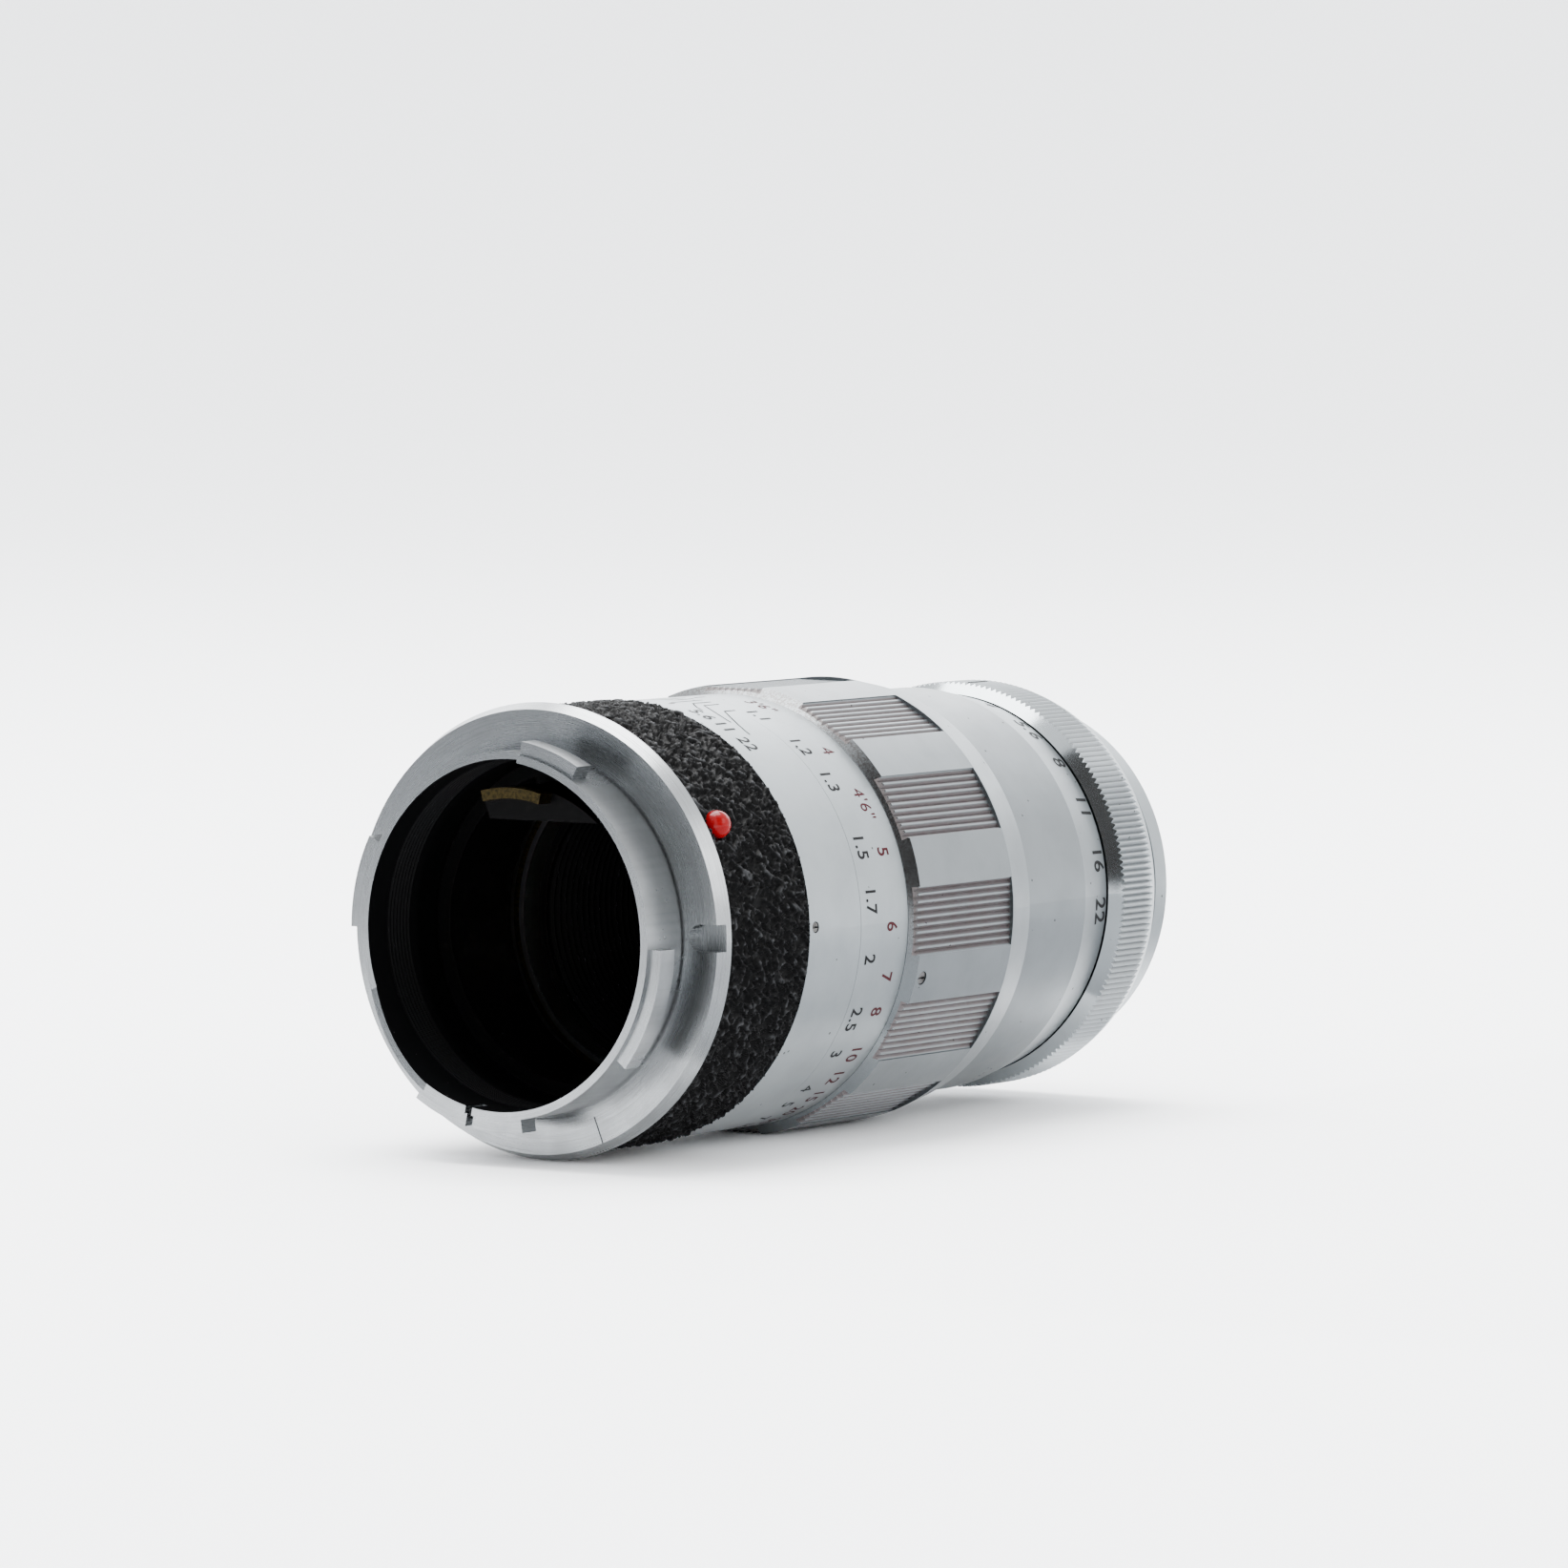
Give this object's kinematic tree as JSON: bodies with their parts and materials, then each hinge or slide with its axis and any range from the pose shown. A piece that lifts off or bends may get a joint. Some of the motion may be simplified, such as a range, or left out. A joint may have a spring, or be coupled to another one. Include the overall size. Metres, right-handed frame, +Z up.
{
  "type": "prime_camera_lens",
  "caption": "Chrome prime lens for a rangefinder camera, with a bayonet mount, a rotating focus ring, a sliding head and a working iris.",
  "frame": {"origin": "centre of the flange's seating face, on the optical axis", "axes": "+Y is the optical axis from the camera side to the front of the lens, +Z is up, +X is to the right seen from the camera side"},
  "size_m": [0.0516, 0.105, 0.0516],
  "materials": {
    "satin_chrome": "satin plated brass",
    "chromed_brass": "turned and plated, worn",
    "black_anodised": "dull black",
    "pebbled_skin": "coarse pebbled skin",
    "red_bead": "glossy red",
    "screw_steel": "plain steel",
    "brass": "turned, dull",
    "blade_steel": "blued spring steel",
    "coated_glass": "coated optical glass"
  },
  "bodies": {
    "mount": {"bayonet_mount": "chromed_brass", "mount_barrel": "black_anodised", "covering_band": "pebbled_skin", "index_bead": "red_bead", "depth_scale_ring": "satin_chrome", "scale_ring_screws": "screw_steel", "retaining_ring": "black_anodised", "stop_segment": "screw_steel", "guide_key": "screw_steel", "guide_key_screw": "screw_steel"},
    "focus_ring": {"focusing_helicoid": "brass", "focus_stop_pin": "screw_steel", "distance_scale_ring": "satin_chrome", "focus_grip": "satin_chrome", "grip_screws": "screw_steel"},
    "head": {"head_tube": "black_anodised", "front_barrel": "satin_chrome", "barrel_screws": "screw_steel", "front_rim": "satin_chrome", "front_cell": "black_anodised", "front_trim_ring": "black_anodised", "middle_retaining_ring": "black_anodised", "rear_cell": "black_anodised", "rear_retaining_ring": "black_anodised", "rear_cell_screws": "screw_steel", "iris_housing": "black_anodised", "front_element": "coated_glass", "middle_front_element": "coated_glass", "middle_rear_element": "coated_glass", "rear_front_element": "coated_glass", "rear_back_element": "coated_glass"},
    "rangefinder_slide": {"rangefinder_carrier": "black_anodised", "rangefinder_cam": "brass"},
    "aperture_control": {"aperture_ring": "satin_chrome", "iris_rotor": "black_anodised", "iris_drive_pin": "screw_steel"},
    "blade_01": {"iris_blade_01": "blade_steel"},
    "blade_02": {"iris_blade_02": "blade_steel"},
    "blade_03": {"iris_blade_03": "blade_steel"},
    "blade_04": {"iris_blade_04": "blade_steel"},
    "blade_05": {"iris_blade_05": "blade_steel"},
    "blade_06": {"iris_blade_06": "blade_steel"},
    "blade_07": {"iris_blade_07": "blade_steel"},
    "blade_08": {"iris_blade_08": "blade_steel"},
    "blade_09": {"iris_blade_09": "blade_steel"},
    "blade_10": {"iris_blade_10": "blade_steel"}
  },
  "joints": [
    {"name": "focus", "type": "hinge", "parent": "mount", "child": "focus_ring", "pos_m": [0, 0.04, 0], "axis": [0, 1, 0], "range_deg": [-169.9, 4.7]},
    {"name": "head_travel", "type": "slide", "parent": "mount", "child": "head", "axis": [0, 1, 0], "range_m": [-0.0099, 0.0004]},
    {"name": "rangefinder_travel", "type": "slide", "parent": "mount", "child": "rangefinder_slide", "axis": [0, 1, 0], "range_m": [-0.0029, 0.0002]},
    {"name": "aperture", "type": "hinge", "parent": "head", "child": "aperture_control", "pos_m": [0, 0.087, 0], "axis": [0, 1, 0], "range_deg": [0, 94]},
    {"name": "blade_01_pivot", "type": "hinge", "parent": "head", "child": "blade_01", "pos_m": [0.0195, 0.07235, 0], "axis": [0, 1, 0], "range_deg": [-36, 0.5]},
    {"name": "blade_02_pivot", "type": "hinge", "parent": "head", "child": "blade_02", "pos_m": [0.01578, 0.07257, 0.01146], "axis": [0, 1, 0], "range_deg": [-36, 0.5]},
    {"name": "blade_03_pivot", "type": "hinge", "parent": "head", "child": "blade_03", "pos_m": [0.00603, 0.07279, 0.01855], "axis": [0, 1, 0], "range_deg": [-36, 0.5]},
    {"name": "blade_04_pivot", "type": "hinge", "parent": "head", "child": "blade_04", "pos_m": [-0.00603, 0.07301, 0.01855], "axis": [0, 1, 0], "range_deg": [-36, 0.5]},
    {"name": "blade_05_pivot", "type": "hinge", "parent": "head", "child": "blade_05", "pos_m": [-0.01578, 0.07323, 0.01146], "axis": [0, 1, 0], "range_deg": [-36, 0.5]},
    {"name": "blade_06_pivot", "type": "hinge", "parent": "head", "child": "blade_06", "pos_m": [-0.0195, 0.07345, 0], "axis": [0, 1, 0], "range_deg": [-36, 0.5]},
    {"name": "blade_07_pivot", "type": "hinge", "parent": "head", "child": "blade_07", "pos_m": [-0.01578, 0.07367, -0.01146], "axis": [0, 1, 0], "range_deg": [-36, 0.5]},
    {"name": "blade_08_pivot", "type": "hinge", "parent": "head", "child": "blade_08", "pos_m": [-0.00603, 0.07389, -0.01855], "axis": [0, 1, 0], "range_deg": [-36, 0.5]},
    {"name": "blade_09_pivot", "type": "hinge", "parent": "head", "child": "blade_09", "pos_m": [0.00603, 0.07411, -0.01855], "axis": [0, 1, 0], "range_deg": [-36, 0.5]},
    {"name": "blade_10_pivot", "type": "hinge", "parent": "head", "child": "blade_10", "pos_m": [0.01578, 0.07433, -0.01146], "axis": [0, 1, 0], "range_deg": [-36, 0.5]}
  ],
  "couplings": [
    {"joint": "head_travel", "follows": "focus", "m_per_rad": 0.0032815},
    {"joint": "rangefinder_travel", "follows": "focus", "m_per_rad": 0.000917},
    {"joint": "blade_01_pivot", "follows": "aperture", "ratio": -0.37021},
    {"joint": "blade_02_pivot", "follows": "aperture", "ratio": -0.37021},
    {"joint": "blade_03_pivot", "follows": "aperture", "ratio": -0.37021},
    {"joint": "blade_04_pivot", "follows": "aperture", "ratio": -0.37021},
    {"joint": "blade_05_pivot", "follows": "aperture", "ratio": -0.37021},
    {"joint": "blade_06_pivot", "follows": "aperture", "ratio": -0.37021},
    {"joint": "blade_07_pivot", "follows": "aperture", "ratio": -0.37021},
    {"joint": "blade_08_pivot", "follows": "aperture", "ratio": -0.37021},
    {"joint": "blade_09_pivot", "follows": "aperture", "ratio": -0.37021},
    {"joint": "blade_10_pivot", "follows": "aperture", "ratio": -0.37021}
  ]
}
